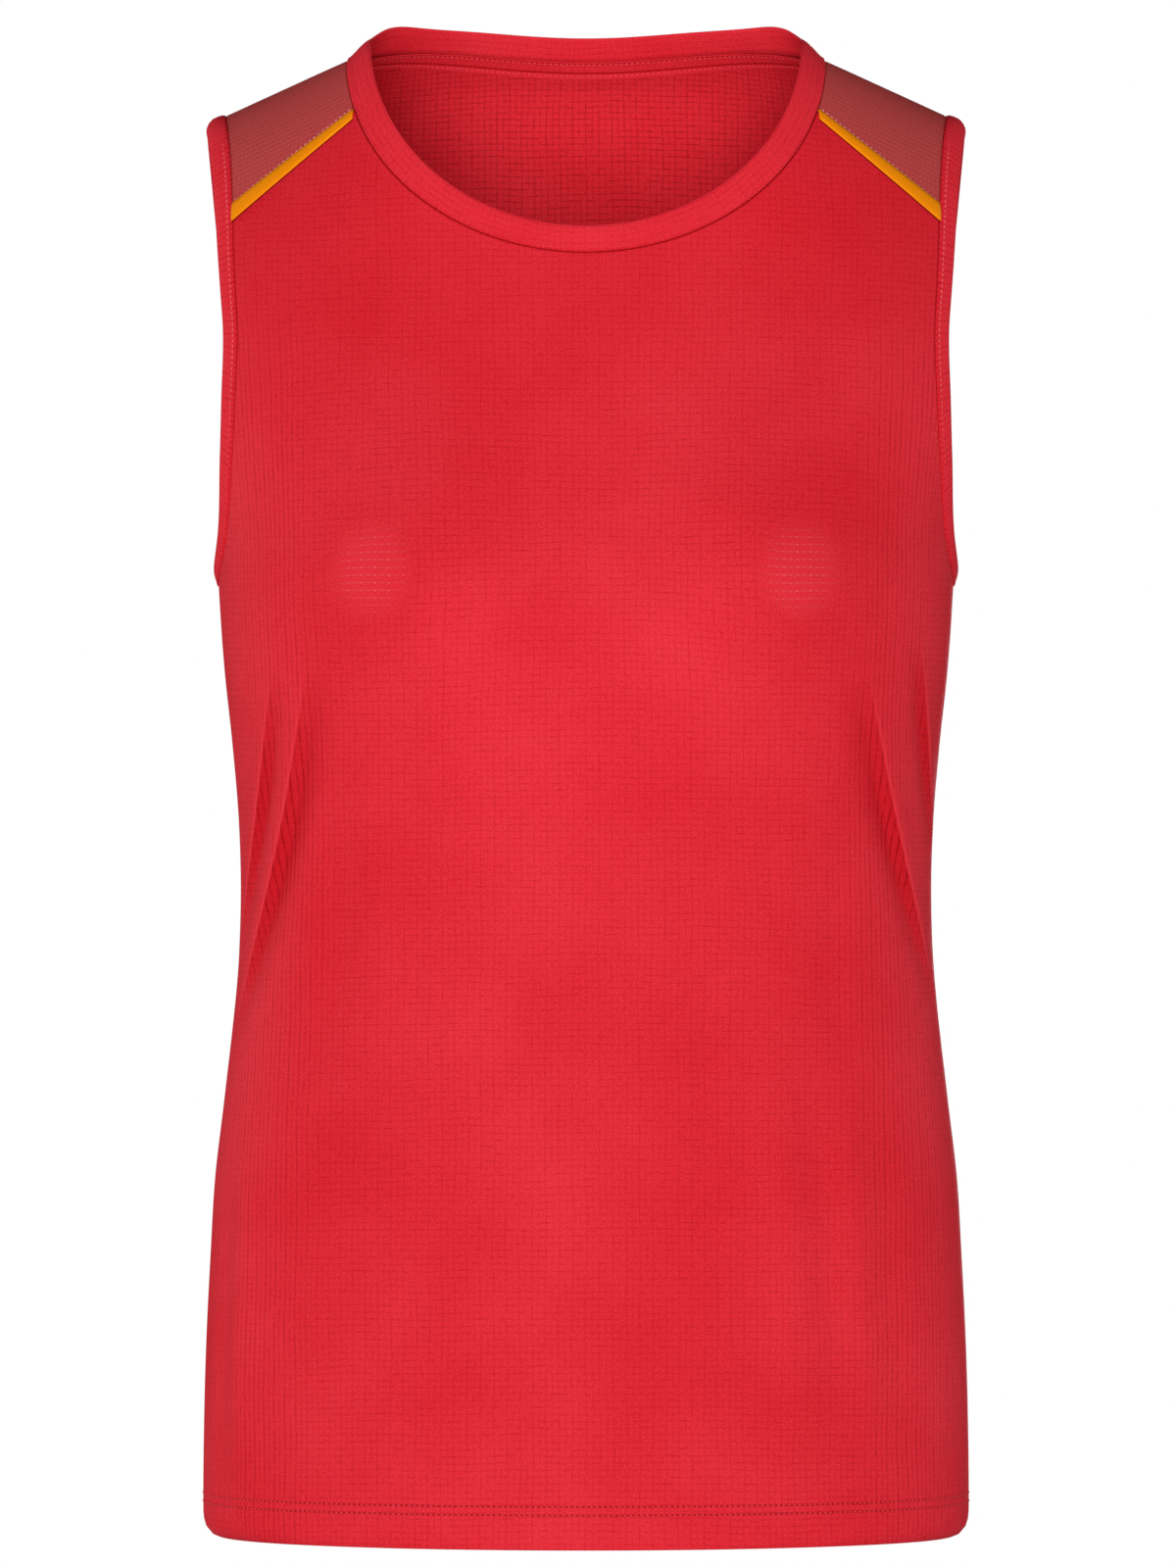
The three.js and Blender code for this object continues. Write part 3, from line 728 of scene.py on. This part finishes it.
def knitMarks(x, height, turn, side):  # where the knit opens over the chest with a painted highlight, is ribbed, has painted shade on the upper front, has bolder lines, or is creased
    at = knitPlaces
    aside = np.abs(turn)
    bust = (((np.abs(x) - at["bustAcross"]) / at["bustHalf"]) ** 2
            + ((height - at["bustHeight"]) / at["bustHalfHeight"]) ** 2)
    plain = at["plainShare"] * smooth(*at["plainAgain"], aside) * smooth(*at["plainHeights"], height)
    marks = {
        # painted paler over the chest, partly as a highlight
        "stretchedAndHighlit": np.exp(-bust) * (side == front),
        "ribbed": smooth(*at["ribbed"], aside) * (1 - plain) * smooth(*at["ribbedHeights"], height),
        # painted shade on the upper front
        "deeper": smooth(*at["upperShadeHeights"], height) * (side == front),
        "bold": smooth(*at["boldHeights"], height) * (side == back),
    }
    for order, word in ((1, "first"), (2, "second")):
        marks[word + "Crease"], marks[word + "Force"] = creaseMarks(turn, height, side, order)
    return marks


def panelSheet(side, name):
    cut = panelCut
    halfSteps, halfOut = turnedIn(edgeSteps(cut["neckColumns"], cut["yokeColumns"]), cut)
    across = np.concatenate([-halfSteps[:0:-1], halfSteps])
    columnOut = np.concatenate([halfOut[:0:-1], halfOut])
    sideTurn, innerTurn = (math.pi / 2 - (cut[gap] / cut["sideDepth"]) ** (1 / body["roundness"])
                           for gap in ("sideGap", "innerGap"))
    turns = across * np.where(columnOut <= -cut["edgeRound"][-1], innerTurn, sideTurn)
    heights, rowOut = bodyRows(cut)
    turn = np.broadcast_to(turns, (len(heights), len(across)))
    height = np.broadcast_to(heights[:, None], turn.shape)
    chestTurn, chestHeight, riseOut = chestGrid(cut, side, across, turns, sideTurn)
    turn = np.concatenate([turn, chestTurn])
    height = np.concatenate([height, chestHeight])
    out = np.maximum(np.concatenate([rowOut, riseOut])[:, None] + columnOut, cut["deepest"])
    x = ringAt(height)[0] * np.sin(turn)
    uv = clothMap(x, height, side)
    uv[: cut["turnUpRows"], :, 1] -= cut["turnUpShift"]
    marks = knitMarks(x, height, np.degrees(turn), side)
    mesh = sheetMesh(name, onSurface(x, height, side, out), uv, marks)
    return finish(mesh, name, knit, cut["wall"], flip=side == back)


frontPanel = panelSheet(front, "front_cloth")
backPanel = panelSheet(back, "back_cloth")
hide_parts("front")
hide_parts("back")
print("panels made")

# Yokes over the shoulders
yokeCut = {
    "columns": 26, "rows": 56, "wall": 0.7,
    "columnMargin": 0.01, "rowMargin": 0.008,  # from the seams to the first even step, as shares
    "allowance": (0.1, 0.3, 1.2), "deepest": -1.4,
}


def leanAt(x, height, side):  # angle round the shoulder cap from the ridge
    return side * np.arccos(1 - (ridge(x) - height) / body["capHeight"])


def turnedInTwice(count, margin, allowance):  # shares from seam to seam, and how far out each one lies
    inside = np.linspace(margin, 1 - margin, count)
    share = np.concatenate([np.zeros(len(allowance)), inside, np.ones(len(allowance))])
    ends = -np.array(allowance)
    return share, np.concatenate([ends[::-1], np.zeros(count), ends])


def yokeSheet(sign, name):
    cut = yokeCut
    share, shareOut = turnedInTwice(cut["columns"], cut["columnMargin"], cut["allowance"])
    rear, rearOut = turnedInTwice(cut["rows"], cut["rowMargin"], cut["allowance"])
    corners = yokeCorners(front, True), yokeCorners(back, True)

    def seamLean(share, side):
        return leanAt(*yokeSeamPlace(share, side, True), side)

    def bow(side):
        return seamLean(share, side) - lerp(seamLean(0.0, side), seamLean(1.0, side), share)

    def edgeAlong(place, frontAngle, backAngle):  # x and lean along the neck seam or the armhole seam
        angle = lerp(frontAngle, backAngle, rear)
        x, height = place(angle)
        return x, leanAt(x, height, np.where(angle < 0, front, back))

    innerX, innerLean = edgeAlong(neckPlace, corners[0][0], corners[1][0])
    outerX, outerLean = edgeAlong(armholePlace, corners[0][1], corners[1][1])
    lean = (lerp(innerLean[:, None], outerLean[:, None], share)
            + lerp(bow(front), bow(back), rear[:, None]))
    x = lerp(innerX[:, None], outerX[:, None], share)
    height = ridge(x) - body["capHeight"] * (1 - np.cos(lean))
    side = np.where(lean < 0, front, back)
    points = onSurface(x, height, side, np.maximum(rearOut[:, None] + shareOut, cut["deepest"]))
    uv = np.stack([runLengths(points, 1), runLengths(points, 0)], axis=-1)
    points[..., 0] *= sign
    return finish(sheetMesh(name, points, uv), name, marl, cut["wall"], flip=sign < 0)


for sign, hand in hands:
    yokePiece = yokeSheet(sign, "yoke_" + hand + "_cloth")
    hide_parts("yoke_" + hand)
print("yokes made")

# Flat piping in the front yoke seams
pipingCut = {
    "columns": 60, "from": 0.004, "to": 0.996, "neckWidth": 3.7, "armWidth": 6.6, "wall": 0.9,
    # shares of the width down from the seam, and millimetres out; the last two rows turn under and carry a
    # painted shadow line
    "section": [
        (-0.2, 0.15), (-0.2, 0.75), (0.1, 1.15), (0.4, 1.35), (0.75, 1.35), (0.93, 1.15), (1.0, 0.75),
        (1.02, 0.6), (1.07, 0.2),
    ],
    "pipingShadowRows": 2,
}


def pipingStrip(sign, name):
    cut = pipingCut
    share = np.linspace(cut["from"], cut["to"], cut["columns"])
    x, height = yokeSeamPlace(share, front, False)
    width = lerp(cut["neckWidth"], cut["armWidth"], share)
    points = np.stack([onSurface(x, height - width * down, front, out) for down, out in cut["section"]])
    uv = gridMap(runLengths(points[3]), runLengths(points[:, cut["columns"] // 2]))
    points[..., 0] *= sign
    # the last rows carry a painted shadow line
    pipingShadow = np.zeros(points.shape[:2])
    pipingShadow[-cut["pipingShadowRows"]:] = 1
    mesh = sheetMesh(name, points, uv, {"pipingShadow": pipingShadow})
    return finish(mesh, name, orange, cut["wall"], flip=sign > 0)


for sign, hand in hands:
    pipingPiece = pipingStrip(sign, "piping_" + hand + "_cloth")
    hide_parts("piping_" + hand)

# Folded bindings: a strip sewn on at the seam, folded over at its edge and brought back inside
bindingLean = (0.3, 4.0)  # from the seam, the strip leaves the panel's slope for its own


def unit(vectors):
    return vectors / np.linalg.norm(vectors, axis=-1, keepdims=True)


def foldedStrip(name, seam, edge, seamOut, section, bulge=0.0):
    width = np.linalg.norm(edge - seam, axis=-1, keepdims=True)
    across = (edge - seam) / width
    ring = np.concatenate([seam[-1:], seam, seam[:1]])
    out = unit(np.cross(ring[2:] - ring[:-2], across))
    out *= np.sign(np.sum(out * seamOut, axis=-1, keepdims=True))
    rows = []
    for acrossMm, acrossShare, outMm in section:
        reach = acrossMm + acrossShare * width
        direction = unit(lerp(seamOut, out, smooth(*bindingLean, reach)))
        share = np.clip(reach / width, 0, 1)
        rows.append(seam + across * reach + direction * (outMm + bulge * 4 * share * (1 - share)))
    points = np.stack(rows)
    points = np.concatenate([points, points[:, :1]], axis=1)
    outerRow = len(section) // 3
    uv = gridMap(runLengths(points[outerRow]), runLengths(points).mean(axis=1))
    flip = not facesAway(points[2:outerRow + 2], np.concatenate([out, out[:1]])[None])
    return sheetMesh(name, points, uv), flip


neckBand = {
    "rise": 10, "extraRise": 2, "inset": 10.5, "backLean": 6, "frontLean": 1,
    "hump": 3.6, "humpAngle": 25, "humpHalf": 16,  # it stands a little higher beside the back of the neck
    "halfSteps": 55, "wall": 0.55,
    # millimetres from the seam, then shares of the width, then millimetres out
    "section": [
        (0.04, 0, -1.5), (0.16, 0, -0.55), (0.42, 0, -0.05), (0.8, 0, 0.42), (1.5, 0, 0.62),
        (2.4, 0, 0.5), (3.2, 0, 0.34), (2.0, 0.25, 0.42), (1.0, 0.5, 0.55), (0.4, 0.78, 0.45),
        (0, 0.92, 0.12), (0, 0.985, -0.25), (0, 1.0, -0.55), (0, 0.985, -0.9), (0, 0.92, -1.25),
        (0.4, 0.78, -1.5), (1.0, 0.5, -1.6), (2.0, 0.2, -1.6), (1.4, 0, -1.65),
    ],
}


def neckBinding():
    cut = neckBand
    angles = np.linspace(-90, 90, 2 * cut["halfSteps"] + 1)
    side = np.where(angles < 0, front, back)
    seam, seamOut = surfaceLine(*neckPlace(angles), side)
    sine = np.sin(np.radians(angles))
    lean = np.where(angles > 0, cut["backLean"], cut["frontLean"]) * sine
    hump = cut["hump"] * np.exp(-(((angles - cut["humpAngle"]) / cut["humpHalf"]) ** 2))
    edge = np.stack([
        seam[:, 0] * (1 - cut["inset"] / neck["halfWidth"]),
        seam[:, 1] - lean,
        seam[:, 2] + cut["rise"] + cut["extraRise"] * sine**2 + hump,
    ], axis=-1)
    rings = [np.concatenate([line, (line * mirrorX)[-2:0:-1]]) for line in (seam, edge, seamOut)]
    mesh, flip = foldedStrip("neck_binding_cloth", *rings, cut["section"])
    return finish(mesh, "neck_binding_cloth", neckKnit, cut["wall"], flip=flip, merge=True)


neckPiece = neckBinding()
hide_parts("neck_binding")

armholeBand = {
    "halfSteps": 95, "wall": 0.55,
    "stand": 0.9,  # how far the fold stands out sideways
    "lowStand": 1.2, "lowFrom": -110, "lowTo": -190,  # and how much more near the underarm
    "topBulge": 1.9, "topHalf": 26,  # the binding is fuller where it crosses the shoulder
    "section": [
        (0.04, 0, -1.5), (0.16, 0, -0.55), (0.42, 0, -0.1), (0.8, 0, 0.3), (1.4, 0, 0.5), (1.2, 0.2, 0.45),
        (0.8, 0.45, 0.55), (0.3, 0.72, 0.45), (0, 0.9, 0.15), (0, 0.98, -0.2), (0, 1.0, -0.55),
        (0, 0.98, -0.9), (0, 0.9, -1.25), (0.3, 0.72, -1.5), (0.8, 0.45, -1.6), (1.2, 0.15, -1.6),
        (1.3, 0, -1.6),
    ],
}


def armholeBinding(sign, name):
    cut = armholeBand
    share = np.linspace(0, 1, cut["halfSteps"] + 1)[1:-1]
    angles = np.concatenate([[-180.0], lerp(-180, 0, share), [0.01], lerp(0, 180, share)])
    side = np.where(angles < 0, front, back)
    seam, seamOut = surfaceLine(*armholePlace(angles), side)
    edge = onSurface(*armholePlace(angles, armholeEdge), side)
    edge[:, 0] += cut["stand"] + cut["lowStand"] * smooth(cut["lowFrom"], cut["lowTo"], edge[:, 2])
    bulge = cut["topBulge"] * np.exp(-((angles / cut["topHalf"]) ** 2))[:, None]
    rings = [line * np.array([sign, 1, 1]) for line in (seam, edge, seamOut)]
    mesh, flip = foldedStrip(name, *rings, cut["section"], bulge)
    return finish(mesh, name, armholeKnit, cut["wall"], flip=flip, merge=True)


for sign, hand in hands:
    armholePiece = armholeBinding(sign, "armhole_binding_" + hand + "_cloth")
    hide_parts("armhole_binding_" + hand)

# Tape inside the back neck
tapeCut = {
    "from": -2.55, "to": 4.7, "out": -2.2, "wall": 0.5, "steps": 90, "firstAngle": 3,
    # shares of the way down, and how much further in
    "section": [(0, -0.25), (0.04, 0), (0.25, 0), (0.5, 0), (0.75, 0), (0.96, 0), (1, 0.3)],
}


def bothHalves(half):  # a line from the side to the middle of the back, and on to the other side
    return np.concatenate([half, (half * mirrorX)[-2::-1]])


def neckTape():
    cut = tapeCut
    angles = np.linspace(cut["firstAngle"], 90, cut["steps"])
    rows = []
    for share, inwards in cut["section"]:
        x, height = neckPlace(angles, lerp(cut["from"], cut["to"], share))
        rows.append(bothHalves(onSurface(x, height, back, cut["out"] - inwards)))
    points = np.stack(rows)
    uv = gridMap(runLengths(points[3]), runLengths(points[:, cut["steps"]]))
    flip = not facesAway(points, np.array([0, -1, 0]))
    mesh = sheetMesh("neck_tape_cloth", points, uv)
    return finish(mesh, "neck_tape_cloth", tapeKnit, cut["wall"], flip=flip)


tapePiece = neckTape()
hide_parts("neck_tape")
print("bindings and tape made")

# Stitches: one small grain of thread, laid along each sewing line
stitch = {"pitch": 2.4, "length": 1.7, "radius": 0.3, "sag": 0.16}
sewing = {
    "hemOut": 0.06, "hemTurn": 88.2, "hemSteps": 240,
    "yokeAbove": ((front, 1.5), (back, -1.6), (back, 1.6)), "yokeOut": 0.08,
    "yokeShares": (0.02, 0.98), "yokeSteps": 60,
    "armholeIn": 0.26,  # a share of the binding's width
    "armholeOut": 0.62, "armholeFrom": 4, "armholeSteps": 160,
    "tapeIn": -2.25, "backOut": 0.06,  # the lower row of the tape shows on the back too
    "tapeFrom": 6, "tapeSteps": 80,
}


def stitchGrain():
    bm = bmesh.new()
    bmesh.ops.create_uvsphere(bm, u_segments=6, v_segments=4, radius=1)
    bmesh.ops.rotate(bm, verts=bm.verts, cent=(0, 0, 0), matrix=Matrix.Rotation(math.radians(90), 3, "Y"))
    mesh = bpy.data.meshes.new("stitch")
    bm.to_mesh(mesh)
    bm.free()
    points = np.empty(len(mesh.vertices) * 3)
    mesh.vertices.foreach_get("co", points)
    faces = [tuple(polygon.vertices) for polygon in mesh.polygons]
    bpy.data.meshes.remove(mesh)
    return points.reshape(-1, 3), faces


grainPoints, grainFaces = stitchGrain()


def stitchRows(name, lines, material):  # each line has its points and the directions out of the cloth there
    half, radius = stitch["length"] / 2, stitch["radius"]
    local = grainPoints * np.array([half, radius, radius])
    local[:, 2] -= stitch["sag"] * (local[:, 0] / half) ** 2
    placed = []
    for points, out in lines:
        run = runLengths(points)
        count = max(int(run[-1] / stitch["pitch"]), 1)
        middles = (np.arange(count) + 0.5) * run[-1] / count

        def at(values, where):
            return np.stack([np.interp(where, run, values[:, i]) for i in range(3)], axis=-1)

        ahead, behind = np.minimum(middles + 0.5, run[-1]), np.maximum(middles - 0.5, 0)
        forward = unit(at(points, ahead) - at(points, behind))
        sidewards = unit(np.cross(at(out, middles), forward))
        axes = np.stack([forward, sidewards, np.cross(forward, sidewards)], axis=1)
        placed.append(at(points, middles)[:, None] + local @ axes)
    placed = np.concatenate(placed)
    step = len(grainPoints)
    faces = [tuple(i + k * step for i in face) for k in range(len(placed)) for face in grainFaces]
    mesh = bpy.data.meshes.new(name)
    mesh.from_pydata((placed.reshape(-1, 3) * mm).tolist(), [], faces)
    finish(mesh, name, material)


def sewnTwice(line):  # on both sides of the body
    return [line, tuple(part * mirrorX for part in line)]


hemLines = []
for side in (front, back):
    for row in hemRows:
        turns = np.radians(np.linspace(-sewing["hemTurn"], sewing["hemTurn"], sewing["hemSteps"]))
        heights = np.full(len(turns), hemHeight + row)
        hemLines.append(surfaceLine(ringAt(heights)[0] * np.sin(turns), heights, side, sewing["hemOut"]))
stitchRows("hem_stitches", hemLines, redThread)

yokeLines = []
for side, above in sewing["yokeAbove"]:
    x, height = yokeSeamPlace(np.linspace(*sewing["yokeShares"], sewing["yokeSteps"]), side, True)
    yokeLines += sewnTwice(surfaceLine(x, height + above, side, sewing["yokeOut"]))
stitchRows("yoke_stitches", yokeLines, paleThread)

armholeRow = {key: lerp(armhole[key], armholeEdge[key], sewing["armholeIn"]) for key in armhole}
armholeLines = []
for side in (front, back):
    angles = side * np.linspace(sewing["armholeFrom"], 180 - sewing["armholeFrom"], sewing["armholeSteps"])
    armholeLines += sewnTwice(surfaceLine(*armholePlace(angles, armholeRow), side, sewing["armholeOut"]))
stitchRows("armhole_stitches", armholeLines, roseThread)

tapeLines = []
upperRow, lowerRow = tapeRows
for row, out in ((upperRow, sewing["tapeIn"]), (lowerRow, sewing["tapeIn"]), (lowerRow, sewing["backOut"])):
    x, height = neckPlace(np.linspace(sewing["tapeFrom"], 90, sewing["tapeSteps"]), tapeCut["from"] + row)
    points, outwards = (bothHalves(half) for half in surfaceLine(x, height, back, out))
    tapeLines.append((points, outwards * np.sign(out)))
stitchRows("tape_stitches", tapeLines, deepThread)
print("stitches made")

# Floor, light and camera, in metres
stage = {
    "floorHeight": -0.76, "floorRadius": 0.68, "floorColour": (0.86, 0.86, 0.86, 1), "floorRoughness": 0.9,
    "worldLight": 0.12,  # on the garment; the room itself shows white
    # name, place, aim, power, size
    "softLights": [
        ("key", (-0.15, -3.4, -0.42), (0, 0, -0.34), 82, 1.3),
        ("low", (0, -3.0, -2.0), (0, 0, -0.34), 14, 1.3),
        ("left", (-2.3, 0.95, 0.1), (0, 0, -0.25), 27, 1.0),
        ("right", (2.3, 0.95, 0.1), (0, 0, -0.25), 18, 1.0),
        ("behind", (0.3, 3.4, -0.1), (0, 0, -0.34), 62, 1.3),
    ],
    # a narrow light down into the neck
    "neckPlace": (0, -1.2, 1.0), "neckAim": (0, 0.08, -0.06), "neckPower": 52, "neckSize": 0.12,
    "neckAngle": 6.6, "neckBlend": 0.6,
    "cameraPlace": (0.00086, -4.87, -0.317), "lens": 254.8, "sensor": 36,
}
bm = bmesh.new()
bmesh.ops.create_circle(bm, cap_ends=True, segments=96, radius=stage["floorRadius"])
bmesh.ops.translate(bm, verts=bm.verts, vec=(0, 0, stage["floorHeight"]))
floorMesh = bpy.data.meshes.new("floor")
bm.to_mesh(floorMesh)
bm.free()
floorMesh.materials.append(Paint("pale floor").surface(stage["floorColour"], stage["floorRoughness"]))
addObject("floor", floorMesh)

world = bpy.data.worlds.new("white room")
world.use_nodes = True
bpy.context.scene.world = world
background = world.node_tree.nodes["Background"]
background.inputs["Color"].default_value = (1, 1, 1, 1)
seen = world.node_tree.nodes.new("ShaderNodeLightPath")
brightness = world.node_tree.nodes.new("ShaderNodeMapRange")
brightness.inputs["To Min"].default_value = stage["worldLight"]
brightness.inputs["To Max"].default_value = 1.0
world.node_tree.links.new(seen.outputs["Is Camera Ray"], brightness.inputs["Value"])
world.node_tree.links.new(brightness.outputs["Result"], background.inputs["Strength"])


def addLight(name, kind, place, aim, power):
    light = bpy.data.lights.new(name, kind)
    light.energy = power
    lamp = addObject(name, light)
    lamp.location = place
    lamp.rotation_euler = (Vector(aim) - Vector(place)).to_track_quat("-Z", "Y").to_euler()
    return light


for name, place, aim, power, size in stage["softLights"]:
    addLight(name, "AREA", place, aim, power).size = size
neckLight = addLight("neck", "SPOT", stage["neckPlace"], stage["neckAim"], stage["neckPower"])
neckLight.spot_size, neckLight.spot_blend = math.radians(stage["neckAngle"]), stage["neckBlend"]
neckLight.shadow_soft_size = stage["neckSize"]

cameraData = bpy.data.cameras.new("camera")
cameraData.sensor_fit = "VERTICAL"
cameraData.sensor_height = stage["sensor"]
cameraData.lens = stage["lens"]
camera = addObject("camera", cameraData)
camera.location = stage["cameraPlace"]
camera.rotation_euler = (math.radians(90), 0, 0)
bpy.context.scene.camera = camera
bpy.context.scene.view_settings.view_transform = "Standard"
print("stage made")
